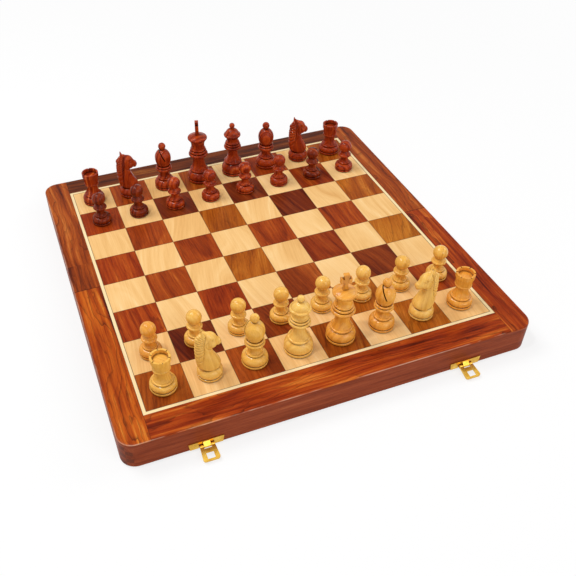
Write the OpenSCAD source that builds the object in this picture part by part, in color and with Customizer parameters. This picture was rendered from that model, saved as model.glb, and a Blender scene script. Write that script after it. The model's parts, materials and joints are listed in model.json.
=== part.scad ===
// Folding chess box: two shallow half-boxes hinged rim to rim, with the playing surface on
// their outsides, two brass hasps and a set of 32 turned and carved men.
// Origin: middle of the fold line, in the plane of the rims that the open box rests on.
// +X runs along the ranks to the right, +Y away from the hasps, +Z up. Millimetres.

/* [Board] */
// Side of one square
square = 37.8; // [34:0.2:42]
// Width of the pale stringing line round the field
stringing_w = 3; // [1.5:0.1:5]
// Width of the border outside the stringing
border_w = 23.8; // [20:0.1:32]
// Thickness of the squares, the stringing and the border
top_t = 4; // [3:0.1:6]
// Radius of the outer corners, seen from above
corner_r = 13; // [11:0.5:18]
// Rounding of the upper outer edge
edge_r = 1.6; // [0.6:0.1:2.5]

/* [Box] */
// Height of one half-box
half_h = 26; // [24:0.5:36]
// Thickness of the side walls
wall_t = 9; // [8:0.1:11]
// Thickness of the wall along the fold
fold_wall_t = 9; // [8.5:0.1:12]
// Thickness of the plywood panel
panel_t = 3; // [2:0.1:4]
// Width of the rebate that carries the panel
rebate_w = 4.5; // [3:0.1:6]
// Number of fingers in a corner joint
fingers = 5; // [3:2:7]
// Thickness of the felt lining
felt_t = 1; // [0.6:0.1:2]
// Distance from the rim to the felt's edge
felt_edge = 3; // [2:0.5:6]

/* [Hinges] */
// Distance of each hinge from the middle
hinge_x = 102; // [70:1:115]
// Length of a hinge
hinge_l = 32; // [24:1:44]
// Width of one leaf, from the axis
leaf_w = 7; // [6:0.1:8]
// Thickness of a leaf
leaf_t = 1; // [0.8:0.1:1.3]
// Radius of the barrel
barrel_r = 1.5; // [1.4:0.05:1.9]
// Radius of the hinge pin
hinge_pin_r = 0.75; // [0.6:0.05:0.9]
// Gap between two knuckles
knuckle_gap = 0.2; // [0.1:0.05:0.4]

/* [Hasps] */
// Distance of each hasp from the middle
hasp_x = 113.5; // [90:0.5:125]
// Length of the hasp's base plate
plate_l = 28.5; // [27:0.5:34]
// Height of the base plate
plate_h = 7; // [6.8:0.1:9]
// Thickness of the plates
plate_t = 0.8; // [0.6:0.05:0.9]
// Height of the hasp's pin above the rim
pin_z = 2.6; // [2.6:0.1:3]
// Distance of the pin from the wall
pin_out = 2.05; // [2.05:0.05:2.4]
// Radius of the hasp's pin
hasp_pin_r = 0.75; // [0.6:0.05:0.9]
// Width of the tongue that curls round the pin
tongue_w = 5.4; // [4.4:0.1:5.6]
// Width of the flap at its pin
flap_w = 11.8; // [11.4:0.1:13]
// Width of the flap at its free end
flap_end_w = 13.4; // [12.4:0.1:15]
// Length of the flap from its pin
flap_l = 13.2; // [12.8:0.1:14]
// Thickness of the flap's sheet
flap_t = 0.7; // [0.5:0.05:0.8]
// How far the flap's edges are turned down
flap_lip = 1; // [0.6:0.1:1.1]
// Angle of the flap below level, as it lies on the table
flap_rest = 7; // [4:0.5:7]
// Width of the window in the flap
window_w = 6; // [5.7:0.1:6.4]

/* [Men] */
// Height of a king
king_h = 68.2; // [60:0.5:80]
// Diameter of a king's base
king_d = 24.4; // [20:0.1:30]
// Height of a queen
queen_h = 58.5; // [50:0.5:70]
// Diameter of a queen's base
queen_d = 24; // [20:0.1:30]
// Height of a bishop
bishop_h = 51.6; // [45:0.5:62]
// Diameter of a bishop's base
bishop_d = 21.6; // [18:0.1:26]
// Height of a knight
knight_h = 50; // [43:0.5:58]
// Diameter of a knight's base
knight_d = 21; // [19:0.1:26]
// Height of a rook
rook_h = 34.6; // [32:0.5:45]
// Diameter of a rook's base
rook_d = 21.8; // [18:0.1:26]
// Height of a pawn
pawn_h = 33.8; // [28:0.5:40]
// Diameter of a pawn's base
pawn_d = 18.7; // [15:0.1:22]
// Thickness of the felt under a man
baize_t = 0.6; // [0.4:0.1:1.2]

/* [Hidden] */
$fn = 64;
fit = 0.05;                 // clearance of a pin in its bore and of a screw in its hole
slack = 0.3;                // clearance between pieces that pass each other
over = 1;                   // how far a cutting shape runs past what it cuts
half_w = 4 * square + stringing_w + border_w;   // half the width, and the depth of one half
wall_h = half_h - top_t;                        // height of the walls
panel_z = wall_h - panel_t;                     // underside of the panel
panel_x = half_w - wall_t + rebate_w;           // half width of the panel
panel_near = fold_wall_t - rebate_w;            // panel's edge nearest the fold
panel_far = half_w - wall_t + rebate_w;         // panel's edge farthest from the fold
finger_h = wall_h / fingers;
field = 4 * square;
ranks = 8;

// Hinges
knuckles = 5;
knuckle_l = hinge_l / knuckles;
leaf_gap = 0.05;                                // leaf below flush, and above its seat
relief_r = barrel_r + slack;
hinge_screw_x = 10.5 * hinge_l / 32;
hinge_screw_y = (leaf_w + relief_r) / 2;
screw_r = 0.9;                                  // shank of every screw
screw_head_r = 1.7;
hinge_screw_l = 8;

// Hasps
plate_z = 0.3;                                  // lower edge of the plates above the rim
plate_splay = 1;                                // how much longer the plate's upper edge is
curl_r = 1.45;                                  // outside of the tongue's curl
ear_r = 1.4;                                    // outside of the flap's curled ears
flap_top = 1;                                   // flap's upper side, above its pin's axis
plate_screw_x = plate_l / 2 - 3.7;
plate_screw_z = 4;
plate_screw_l = 7;
bar_from = 2.7;                                 // crossbar's edges, from the pin
bar_to = 6.4;
window_to = flap_l - 1.5;
flap_corner_r = 2;
lug_w = window_w - 2 * slack;
lug_out = 3.4;                                  // how far the strike's lug stands from the wall
strike_h = 9.6;

men_kinds = [
    ["light", 0, ["rook", "knight", "bishop", "queen", "king", "bishop", "knight", "rook"]],
    ["dark", 7, ["rook", "knight", "bishop", "king", "queen", "bishop", "knight", "rook"]]
];
files = "abcdefgh";
// Turn of each officer about its own axis, as the men stand: knights' muzzles, mitres' cuts
officer_turn = [
    ["light", [0, 0, -95, 0, -10, -34, 180, 0]],
    ["dark", [0, 0, -12, 74, 0, -80, 0, 0]]
];
function pawn_rank(side) = side == "light" ? 1 : 6;
// One entry a man: name, kind, file, rank, turn, side
MEN = concat(
    [for (s = [0, 1], f = [0:7])
        [str(men_kinds[s][0], "_", men_kinds[s][2][f], "_", files[f]), men_kinds[s][2][f],
         f, men_kinds[s][1], officer_turn[s][1][f], men_kinds[s][0]]],
    [for (s = [0, 1], f = [0:7])
        [str(men_kinds[s][0], "_pawn_", files[f]), "pawn",
         f, pawn_rank(men_kinds[s][0]), 0, men_kinds[s][0]]]
);

rosewood = "#8a4423";
maple = "#ecc988";
brass = "#d9aa3c";
felt = "#2f5a3a";
boxwood = "#e0a850";
dark_wood = "#7a2413";

// ---------- half-box ----------

// Plan of the front half, with its two outer corners rounded
module half_plan() {
    translate([-half_w, corner_r - half_w]) square([2 * half_w, half_w - corner_r]);
    translate([corner_r - half_w, -half_w]) square([2 * (half_w - corner_r), corner_r]);
    for (sx = [-1, 1])
        translate([sx * (half_w - corner_r), corner_r - half_w]) circle(corner_r);
}

// A box from one corner to another
module block(low, high) {
    translate(low) cube(high - low);
}

// Room that the walls leave for the panel
module panel_room(top = 0) {
    block([-panel_x, -panel_far, panel_z], [panel_x, -panel_near, wall_h + top]);
}

// Every second finger of the two outer corners, from finger number first
module corner_fingers(first) {
    for (sx = [-1, 1], k = [first:2:fingers - 1])
        translate([sx * (half_w - wall_t / 2), wall_t / 2 - half_w, (k + 0.5) * finger_h])
            cube([wall_t, wall_t, finger_h], center = true);
}

module screw_hole(length) {
    cylinder(h = length + fit, r = screw_r + fit);
}

// Places of the hinges' screws in one half, pointing up into the wall
module at_hinge_screws() {
    for (sx = [-1, 1], s = [-1, 1])
        translate([sx * hinge_x + s * hinge_screw_x, -hinge_screw_y, 0]) children();
}

// Places of a plate's screws on the front face, pointing into the wall
module at_plate_screws(z) {
    for (sx = [-1, 1], s = [-1, 1])
        translate([sx * hasp_x + s * plate_screw_x, -half_w, z]) rotate([-90, 0, 0]) children();
}

module outer_wall() {
    difference() {
        linear_extrude(wall_h) intersection() {
            half_plan();
            translate([-half_w, -half_w]) square([2 * half_w, wall_t]);
        }
        panel_room(over);
        corner_fingers(1);
        at_plate_screws(plate_screw_z) screw_hole(plate_screw_l - plate_t);
    }
}

module side_walls() {
    difference() {
        linear_extrude(wall_h) intersection() {
            half_plan();
            for (sx = [-1, 1])
                translate([sx * (half_w - wall_t / 2) - wall_t / 2, -half_w])
                    square([wall_t, half_w]);
        }
        panel_room(over);
        corner_fingers(0);
    }
}

module fold_wall() {
    difference() {
        block([wall_t - half_w, -fold_wall_t, 0], [half_w - wall_t, 0, wall_h]);
        panel_room(over);
        for (sx = [-1, 1]) {
            block([sx * hinge_x - hinge_l / 2 - fit, -leaf_w - fit, -over],
                  [sx * hinge_x + hinge_l / 2 + fit, over, leaf_t + 2 * leaf_gap]);
            translate([sx * hinge_x - hinge_l / 2 - fit, 0, 0]) rotate([0, 90, 0])
                cylinder(h = hinge_l + 2 * fit, r = relief_r);
        }
        at_hinge_screws() screw_hole(hinge_screw_l);
    }
}

// What the rounding takes off a straight upper edge, edge at the origin
module edge_waste() {
    difference() {
        translate([-edge_r, -edge_r]) square(edge_r + over);
        translate([-edge_r, -edge_r]) circle(edge_r);
    }
}

// The same, along the whole outer edge of the front half
module edge_cutter() {
    straight = half_w - corner_r;
    translate([0, 0, half_h]) {
        for (sx = [0, 1]) mirror([sx, 0, 0]) {
            translate([half_w, over, 0]) rotate([90, 0, 0])
                linear_extrude(straight + over) edge_waste();
            translate([straight, -straight, 0]) rotate([0, 0, -90])
                rotate_extrude(angle = 90) translate([corner_r, 0]) edge_waste();
        }
        translate([-straight, -half_w, 0]) rotate([90, 0, 90])
            linear_extrude(2 * straight) mirror([1, 0]) edge_waste();
    }
}

module border() {
    inner = half_w - border_w;
    difference() {
        translate([0, 0, wall_h]) linear_extrude(top_t) intersection() {
            half_plan();
            for (sx = [-1, 1])
                translate([sx * (half_w - border_w / 2) - border_w / 2, -half_w])
                    square([border_w, half_w]);
        }
        edge_cutter();
    }
    difference() {
        block([-inner, -half_w, wall_h], [inner, -inner, half_h]);
        edge_cutter();
    }
}

module stringing() {
    for (sx = [-1, 1])
        translate([sx * (field + stringing_w / 2) - stringing_w / 2, -field - stringing_w, wall_h])
            cube([stringing_w, field + stringing_w, top_t]);
    block([-field, -field - stringing_w, wall_h], [field, -field, half_h]);
}

// The squares of one colour on four ranks: parity 0 for the dark ones
module squares(first_rank, parity) {
    for (j = [first_rank:first_rank + 3], i = [0:ranks - 1])
        if ((i + j) % 2 == parity)
            translate([(i - 4) * square, (j - 4) * square, wall_h])
                cube([square, square, top_t]);
}

module lining() {
    x = half_w - wall_t;
    difference() {
        block([-x, -x, felt_edge], [x, -fold_wall_t, panel_z]);
        block([felt_t - x, felt_t - x, 0], [x - felt_t, -fold_wall_t - felt_t, panel_z - felt_t]);
    }
}

// ---------- hinges ----------

// Leaves of one half; own holds the numbers of the knuckles that belong to it
module hinge_leaves(own) {
    for (sx = [-1, 1]) translate([sx * hinge_x, 0, 0]) difference() {
        union() {
            block([-hinge_l / 2, -leaf_w, leaf_gap], [hinge_l / 2, -relief_r, leaf_gap + leaf_t]);
            for (k = own) translate([k * knuckle_l - hinge_l / 2 + knuckle_gap / 2, 0, 0]) {
                rotate([0, 90, 0]) cylinder(h = knuckle_l - knuckle_gap, r = barrel_r);
                translate([0, -relief_r - fit, leaf_gap])
                    cube([knuckle_l - knuckle_gap, relief_r - barrel_r / 2 + fit, leaf_t]);
            }
        }
        translate([-hinge_l, 0, 0]) rotate([0, 90, 0])
            cylinder(h = 2 * hinge_l, r = hinge_pin_r + fit);
        for (s = [-1, 1]) translate([s * hinge_screw_x, -hinge_screw_y, leaf_gap])
            countersink(leaf_t, fit);
    }
}

// Seat of a flush screw in a sheet of thickness t, wider by gap
module countersink(t, gap) {
    cylinder(h = t, r1 = screw_head_r + gap, r2 = screw_r + gap);
}

module flush_screw(t, length) {
    union() {
        cylinder(h = t, r1 = screw_head_r, r2 = screw_r);
        cylinder(h = length, r = screw_r);
    }
}

// ---------- hasps ----------

// Moves a shape drawn with x outward from the wall and y up into place, centred on a hasp
module outward(width) {
    translate([-width / 2, -half_w, 0]) rotate([90, 0, 90]) linear_extrude(width)
        mirror([1, 0]) children();
}

module hasp_plate() {
    low = plate_l / 2 - plate_splay;
    high = plate_l / 2;
    slot = tongue_w / 2 + slack;                // slots beside the tongue let the ears turn
    slot_out = flap_w / 2 + slack;
    slot_top = pin_z + curl_r + slack;
    tongue_top = plate_z + plate_h - 0.9;
    difference() {
        union() {
            difference() {
                translate([0, -half_w, 0]) rotate([90, 0, 0]) linear_extrude(plate_t)
                    polygon([[-low, plate_z], [low, plate_z],
                             [high, plate_z + plate_h], [-high, plate_z + plate_h]]);
                for (sx = [-1, 1])
                    translate([sx * (slot + slot_out) / 2, -half_w, slot_top / 2 - over / 2])
                        cube([slot_out - slot, 4 * plate_t, slot_top + over], center = true);
            }
            outward(tongue_w) {
                translate([pin_out, pin_z]) circle(curl_r);
                polygon([[0, pin_z - curl_r], [pin_out, pin_z - curl_r],
                         [pin_out + curl_r * cos(40), pin_z + curl_r * sin(40)],
                         [plate_t, tongue_top], [0, tongue_top]]);
            }
        }
        outward(2 * plate_l) translate([pin_out, pin_z]) circle(hasp_pin_r + fit);
        for (s = [-1, 1])
            translate([s * plate_screw_x, -half_w - plate_t, plate_screw_z])
                rotate([-90, 0, 0]) countersink(plate_t, fit);
    }
}

// Plan of the flap, x across and y along it from the pin, drawn in by e
module flap_plan(e) {
    w0 = flap_w / 2 - e;
    w1 = flap_end_w / 2;
    straight = flap_l - flap_corner_r;
    polygon([[-w0, 0], [w0, 0], [w1 - e, straight], [e - w1, straight]]);
    translate([flap_corner_r - w1, 0]) square([2 * (w1 - flap_corner_r), flap_l - e]);
    for (sx = [-1, 1])
        translate([sx * (w1 - flap_corner_r), straight]) circle(flap_corner_r - e);
}

// The flap with its pin on the X axis, lying level and pointing along -Y
module flap_flat() {
    sheet_z = flap_top - flap_t;
    slot_w = tongue_w + 2 * slack;
    rotate([0, 0, 180]) difference() {
        union() {
            translate([0, 0, sheet_z]) linear_extrude(flap_t) flap_plan(0);
            translate([0, 0, sheet_z - flap_lip]) linear_extrude(flap_lip) difference() {
                flap_plan(0);
                flap_plan(flap_t);
            }
            translate([-flap_w / 2, 0, 0]) rotate([0, 90, 0]) cylinder(h = flap_w, r = ear_r);
        }
        translate([-flap_w, 0, 0]) rotate([0, 90, 0])
            cylinder(h = 2 * flap_w, r = hasp_pin_r + fit);
        block([-slot_w / 2, -2 * ear_r, -2 * ear_r], [slot_w / 2, bar_from, 2 * ear_r]);
        block([-window_w / 2, bar_to, -2 * ear_r], [window_w / 2, window_to, 2 * ear_r]);
    }
}

module hasp_flap(sx) {
    translate([sx * hasp_x, -half_w - pin_out, pin_z]) rotate([flap_rest, 0, 0]) flap_flat();
}

// Strike plate of the rear half, on the same face and rim as a hasp plate of the front half
module strike_plate() {
    near = bar_to - pin_z + 2 * slack;          // sides of the lug, from the rim
    far = window_to - pin_z - 2 * slack;
    difference() {
        union() {
            translate([0, -half_w, 0]) rotate([90, 0, 0]) linear_extrude(plate_t)
                translate([-plate_l / 2, plate_z]) square([plate_l, strike_h]);
            outward(lug_w)
                polygon([[0, near], [lug_out - 0.7, near], [lug_out, near + 0.7],
                         [lug_out, near + 1.6], [lug_out - 1.2, far], [0, far]]);
        }
        for (s = [-1, 1])
            translate([s * plate_screw_x, -half_w - plate_t, plate_screw_z])
                rotate([-90, 0, 0]) countersink(plate_t, fit);
    }
}

module half_screws() {
    at_hinge_screws() translate([0, 0, leaf_gap]) flush_screw(leaf_t, hinge_screw_l - leaf_gap);
    at_plate_screws(plate_screw_z) translate([0, 0, -plate_t])
        flush_screw(plate_t, plate_screw_l);
}

// ---------- men: profiles are drawn with x as the radius and y as the height ----------

// A flat ring with a rounded edge: overall radius r, half thickness t
module bead(r, z, t) {
    translate([0, z - t]) square([r - t, 2 * t]);
    translate([r - t, z]) circle(t);
}

// The wood that the rings of a collar stand out from
module core(r, z0, z1) {
    translate([0, z0]) square([r, z1 - z0]);
}

// A cone between two radii
module taper(r0, z0, r1, z1) {
    polygon([[0, z0], [r0, z0], [r1, z1], [0, z1]]);
}

// A waist of radius r at height z that flares in two arcs to r0 at z0 below and r1 at z1 above
module waist(r0, z0, r, z, r1, z1) {
    low_r = (pow(r0 - r, 2) + pow(z - z0, 2)) / (2 * (r0 - r));
    high_r = (pow(r1 - r, 2) + pow(z1 - z, 2)) / (2 * (r1 - r));
    difference() {
        translate([0, z0]) square([r0, z - z0]);
        translate([r + low_r, z]) circle(low_r, $fn = 240);
    }
    difference() {
        translate([0, z]) square([r1, z1 - z]);
        translate([r + high_r, z]) circle(high_r, $fn = 240);
    }
}

// A cap of radius r that rises h above z
module dome(r, z, h) {
    big = (r * r + h * h) / (2 * h);
    intersection() {
        translate([0, z + h - big]) circle(big, $fn = 180);
        translate([0, z]) square([r, h]);
    }
}

// A pointed egg: widest radius r at height z, rising up above it and dropping down below it
module egg(r, z, up, down) {
    for (part = [[up, 0], [down, 1]]) {
        shift = (part[0] * part[0] - r * r) / (2 * r);
        translate([0, z]) mirror([0, part[1]]) intersection() {
            translate([-shift, 0]) circle(r + shift, $fn = 160);
            square([r, part[0]]);
        }
    }
}

// Plinth, groove and belly under every man, for a base radius r: the belly rises in one arc to
// radius top_r at height top_z
module belly(r, top_r, top_z) {
    plinth_z = 0.25 * r;
    groove_z = 0.31 * r;
    wide_z = 0.48 * r;
    low_r = 0.95 * r;                           // radius of the belly's lower edge
    worn = 0.04 * r;                            // corners of the plinth
    low_arc = (pow(r - low_r, 2) + pow(wide_z - groove_z, 2)) / (2 * (r - low_r));
    top_arc = (pow(r - top_r, 2) + pow(top_z - wide_z, 2)) / (2 * (r - top_r));
    polygon([[0, baize_t], [r - worn, baize_t], [r, baize_t + worn], [r, plinth_z - worn],
             [r - worn, plinth_z], [0, plinth_z]]);
    translate([0, plinth_z - fit]) square([0.9 * r, wide_z - plinth_z]);
    intersection() {
        translate([r - low_arc, wide_z]) circle(low_arc, $fn = 90);
        translate([0, groove_z]) square([r, wide_z - groove_z + fit]);
    }
    intersection() {
        translate([r - top_arc, wide_z]) circle(top_arc, $fn = 180);
        translate([0, wide_z]) square([r, top_z - wide_z]);
    }
    translate([0, wide_z - fit]) square([0.5 * r, top_z - wide_z]);
}

// Foot that every turned man shares: the belly carries a step ring of radius ring_r
module foot(r, ring_r, ring_z) {
    belly(r, ring_r - 0.14 * r, ring_z - 0.08 * r);
    bead(ring_r, ring_z, 0.1 * r);
}

// Closes the left side of a profile and spins it
module turned() {
    rotate_extrude() intersection() {
        children();
        square([king_d, 2 * king_h]);
    }
}

module baize(d) {
    color(felt) cylinder(h = baize_t, d = 0.84 * d);
}

module pawn() {
    r = pawn_d / 2;
    h = pawn_h;
    turned() {
        foot(r, 0.66 * r, 0.27 * h);
        waist(0.56 * r, 0.29 * h, 0.41 * r, 0.42 * h, 0.5 * r, 0.48 * h);
        core(0.5 * r, 0.47 * h, 0.57 * h);
        bead(0.71 * r, 0.53 * h, 0.04 * h);
        taper(0.6 * r, 0.56 * h, 0.42 * r, 0.66 * h);
        translate([0, h - 0.69 * r]) circle(0.69 * r);
    }
    baize(pawn_d);
}

module rook() {
    r = rook_d / 2;
    h = rook_h;
    rim = 0.745 * r;
    slots = 6;
    difference() {
        turned() {
            foot(r, 0.79 * r, 0.28 * h);
            waist(0.68 * r, 0.3 * h, 0.49 * r, 0.52 * h, 0.54 * r, 0.62 * h);
            bead(0.67 * r, 0.645 * h, 0.035 * h);
            taper(0.63 * r, 0.65 * h, 0.7 * r, 0.9 * h);
            translate([0, 0.88 * h]) square([rim, 0.12 * h]);
        }
        translate([0, 0, 0.89 * h]) cylinder(h = h, r = 0.59 * r);
        for (k = [0:slots / 2 - 1]) rotate([0, 0, 30 + k * 360 / slots])
            translate([0, 0, 0.98 * h + h / 2]) cube([3 * r, 0.09 * r, h], center = true);
    }
    baize(rook_d);
}

module bishop() {
    r = bishop_d / 2;
    h = bishop_h;
    ball = 0.073 * h;
    difference() {
        turned() {
            foot(r, 0.69 * r, 0.225 * h);
            waist(0.58 * r, 0.24 * h, 0.42 * r, 0.35 * h, 0.52 * r, 0.4 * h);
            core(0.52 * r, 0.39 * h, 0.5 * h);
            bead(0.77 * r, 0.432 * h, 0.034 * h);
            bead(0.72 * r, 0.49 * h, 0.022 * h);
            egg(0.76 * r, 0.68 * h, 0.2 * h, 0.29 * h);
            translate([0, h - ball]) circle(ball);
        }
        // the slanting saw cut in the mitre
        translate([-0.13 * r, 0, 0.79 * h]) rotate([0, -27, 0])
            cube([0.1 * r, 3 * r, 0.28 * h], center = true);
    }
    baize(bishop_d);
}

module queen() {
    r = queen_d / 2;
    h = queen_h;
    ball = 0.049 * h;
    turned() {
        foot(r, 0.78 * r, 0.245 * h);
        waist(0.68 * r, 0.262 * h, 0.41 * r, 0.45 * h, 0.5 * r, 0.5 * h);
        core(0.5 * r, 0.49 * h, 0.65 * h);
        bead(0.755 * r, 0.54 * h, 0.028 * h);
        bead(0.68 * r, 0.59 * h, 0.02 * h);
        bead(0.61 * r, 0.63 * h, 0.016 * h);
        waist(0.56 * r, 0.64 * h, 0.5 * r, 0.68 * h, 0.66 * r, 0.75 * h);
        bead(0.73 * r, 0.775 * h, 0.026 * h);
        dome(0.62 * r, 0.79 * h, 0.11 * h);
        translate([0, h - ball]) circle(ball);
        translate([0, 0.88 * h]) square([0.14 * r, 0.04 * h]);
    }
    baize(queen_d);
}

// Cross of width w and height c, standing on the XY plane
module cross(w, c, t) {
    arm = 0.3 * w;
    rotate([90, 0, 0]) translate([0, 0, -t / 2]) linear_extrude(t) {
        polygon([[-0.24 * w, 0], [0.24 * w, 0], [0.13 * w, c / 2], [0.26 * w, c], [-0.26 * w, c],
                 [-0.13 * w, c / 2]]);
        polygon([[-w / 2, 0.6 * c - arm], [0, 0.6 * c - arm / 2], [w / 2, 0.6 * c - arm],
                 [w / 2, 0.6 * c + arm], [0, 0.6 * c + arm / 2], [-w / 2, 0.6 * c + arm]]);
    }
}

module king() {
    r = king_d / 2;
    h = king_h;
    top = 0.78 * h;
    union() {
        turned() {
            foot(r, 0.78 * r, 0.19 * h);
            waist(0.68 * r, 0.204 * h, 0.47 * r, 0.38 * h, 0.54 * r, 0.43 * h);
            core(0.54 * r, 0.42 * h, 0.57 * h);
            bead(0.82 * r, 0.46 * h, 0.026 * h);
            bead(0.72 * r, 0.508 * h, 0.02 * h);
            bead(0.65 * r, 0.548 * h, 0.018 * h);
            waist(0.6 * r, 0.56 * h, 0.56 * r, 0.61 * h, 0.76 * r, 0.71 * h);
            bead(0.82 * r, 0.73 * h, 0.022 * h);
            dome(0.76 * r, 0.74 * h, 0.045 * h);
            translate([0, top - 0.02 * h]) square([0.2 * r, 0.03 * h]);
        }
        translate([0, 0, top]) cross(0.72 * r, h - top, 0.3 * r);
    }
    baize(king_d);
}

// Where the carved horse stands on its turned base
function knight_seat() = 0.44 * knight_d;

// Carved measures, given for a base 21 across and a height of 50, fitted to the knight's own
function knight_x(x) = x * knight_d / 21;
function knight_z(z) = knight_seat() + (z - 9.24) * (knight_h - knight_seat()) / 40.76;
function carved(points) = [for (p = points) [knight_x(p[0]), knight_z(p[1])]];
function plan(points) = [for (p = points) [knight_x(p[0]), knight_x(p[1])]];

// A carved solid from its side view in x and z and its front view in y and z
module two_views() {
    intersection() {
        translate([0, knight_d, 0]) rotate([90, 0, 0]) linear_extrude(2 * knight_d) children(0);
        translate([-knight_d, 0, 0]) rotate([90, 0, 90]) linear_extrude(2 * knight_d) children(1);
    }
}

// Neck and chest, facing +X: round where they stand on the base, narrow along the mane
module knight_neck() {
    intersection() {
        two_views() {
            polygon(carved([
                [-9.4, 9], [-10.2, 15.5], [-11.1, 25], [-11.1, 34], [-10, 41], [-7.2, 46.5],
                [-4, 47.5], [1.5, 42], [2.3, 30], [4.6, 24], [7, 19], [8.9, 14.2], [8.9, 9]]));
            polygon(carved([
                [-7.2, 9], [7.2, 9], [7.5, 13], [6.4, 20], [5.2, 28], [4.5, 36], [3.7, 43],
                [2.6, 49], [-2.6, 49], [-3.7, 43], [-4.5, 36], [-5.2, 28], [-6.4, 20], [-7.5, 13]]));
        }
        linear_extrude(2 * knight_h)
            polygon(plan([[-12, -3.2], [-5, -7.6], [12, -7.6], [12, 7.6], [-5, 7.6], [-12, 3.2]]));
        turned() polygon(carved([
            [0, 9], [8.7, 9], [9.7, 13], [10.6, 18], [11.2, 24], [11.2, 50], [0, 50]]));
    }
}

// Head with its ears, narrowing to the muzzle
module knight_head() {
    intersection() {
        two_views() {
            union() {
                polygon(carved([
                    [-8, 33], [-8.4, 43], [-6.6, 47], [-4.6, 50], [-2.6, 46.8], [-1.4, 47.5],
                    [1, 46.4], [5, 43.3], [8.7, 39.4], [10.3, 35.8], [10.2, 33.4], [9.2, 31.6],
                    [7.6, 31], [4.4, 31.8], [2.2, 31.2], [0, 28]]));
                translate([knight_x(2.7), knight_z(35.3)]) circle(knight_x(4.6));
            }
            polygon(carved([
                [-4.8, 27], [4.8, 27], [4.8, 38], [3.9, 43], [3.2, 51],
                [-3.2, 51], [-3.9, 43], [-4.8, 38]]));
        }
        linear_extrude(2 * knight_h) polygon(plan([
            [-9, -3.4], [-1, -4.8], [4.4, -4.6], [7.6, -3.2], [10.8, -2.2],
            [10.8, 2.2], [7.6, 3.2], [4.4, 4.6], [-1, 4.8], [-9, 3.4]]));
    }
}

module knight() {
    r = knight_d / 2;
    difference() {
        union() {
            turned() belly(r, 0.84 * r, knight_seat());
            knight_neck();
            knight_head();
        }
        // the cleft between the ears
        translate([knight_x(-3.6), 0, knight_z(50.8)]) rotate([0, -12, 0])
            cube([0.9 * r, 0.2 * r, 0.8 * r], center = true);
        // the grooves between the mane and the neck, and the mouth
        for (sy = [-1, 1])
            translate([knight_x(-6.6), sy * knight_x(6), knight_z(33)]) rotate([0, 3, 0])
                cube([0.08 * r, 0.3 * r, 1.7 * r], center = true);
        translate([knight_x(9.8), 0, knight_z(33.3)]) rotate([0, 10, 0])
            cube([0.4 * r, r, 0.05 * r], center = true);
    }
    baize(knight_d);
}

// ---------- the men in their places ----------

module man(m) {
    translate([(m[2] - 3.5) * square, (m[3] - 3.5) * square, half_h]) rotate([0, 0, m[4]])
        color(m[5] == "light" ? boxwood : dark_wood) {
            if (m[1] == "pawn") pawn();
            if (m[1] == "rook") rook();
            if (m[1] == "knight") knight();
            if (m[1] == "bishop") bishop();
            if (m[1] == "queen") queen();
            if (m[1] == "king") king();
        }
}

// ---------- nodes ----------

module rear() {
    mirror([0, 1, 0]) children();
}

module at_hasps() {
    for (sx = [-1, 1]) translate([sx * hasp_x, 0, 0]) children();
}

module front_wall() { color(rosewood) outer_wall(); }
module front_side_walls() { color(rosewood) side_walls(); }
module front_fold_wall() { color(rosewood) fold_wall(); }
module front_panel() { color("tan") panel_room(); }
module front_border() { color(rosewood) border(); }
module front_stringing() { color(maple) stringing(); }
module front_light_squares() { color(maple) squares(0, 1); }
module front_dark_squares() { color(rosewood) squares(0, 0); }
module front_lining() { color(felt) lining(); }
module rear_wall() { color(rosewood) rear() outer_wall(); }
module rear_side_walls() { color(rosewood) rear() side_walls(); }
module rear_fold_wall() { color(rosewood) rear() fold_wall(); }
module rear_panel() { color("tan") rear() panel_room(); }
module rear_border() { color(rosewood) rear() border(); }
module rear_stringing() { color(maple) rear() stringing(); }
module rear_light_squares() { color(maple) squares(4, 1); }
module rear_dark_squares() { color(rosewood) squares(4, 0); }
module rear_lining() { color(felt) rear() lining(); }
module hinge_front_leaves() { color(brass) hinge_leaves([0, 2, 4]); }
module hinge_rear_leaves() { color(brass) rear() hinge_leaves([1, 3]); }
module hinge_pins() {
    color(brass) for (sx = [-1, 1])
        translate([sx * hinge_x - hinge_l / 2, 0, 0]) rotate([0, 90, 0])
            cylinder(h = hinge_l, r = hinge_pin_r);
}
module hasp_plates() { color(brass) at_hasps() hasp_plate(); }
module hasp_pins() {
    color(brass) at_hasps() outward(flap_w) translate([pin_out, pin_z]) circle(hasp_pin_r);
}
module hasp_flap_left() { color(brass) hasp_flap(-1); }
module hasp_flap_right() { color(brass) hasp_flap(1); }
module strike_plates() { color(brass) rear() at_hasps() strike_plate(); }
module front_screws() { color(brass) half_screws(); }
module rear_screws() { color(brass) rear() half_screws(); }

front_wall();
front_side_walls();
front_fold_wall();
front_panel();
front_border();
front_stringing();
front_light_squares();
front_dark_squares();
front_lining();
rear_wall();
rear_side_walls();
rear_fold_wall();
rear_panel();
rear_border();
rear_stringing();
rear_light_squares();
rear_dark_squares();
rear_lining();
hinge_front_leaves();
hinge_rear_leaves();
hinge_pins();
hasp_plates();
hasp_pins();
hasp_flap_left();
hasp_flap_right();
strike_plates();
front_screws();
rear_screws();
for (m = MEN) man(m);
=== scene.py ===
# %% [markdown]
# # A folding wooden chess box, with its men set out
#
# The box is two shallow trays of brown hardwood, hinged rim to rim. Open, they lie rim down and
# their outsides make the board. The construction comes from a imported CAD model, and this lesson
# adds what a CAD model lacks: figured wood, lacquer, brass, felt, carved horses' heads and light.
# First we load the frame and note its size before anything is added.

# %% Load the frame
import json
import math

import bmesh
import bpy
import numpy as np
from mathutils import Matrix, Vector

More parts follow.
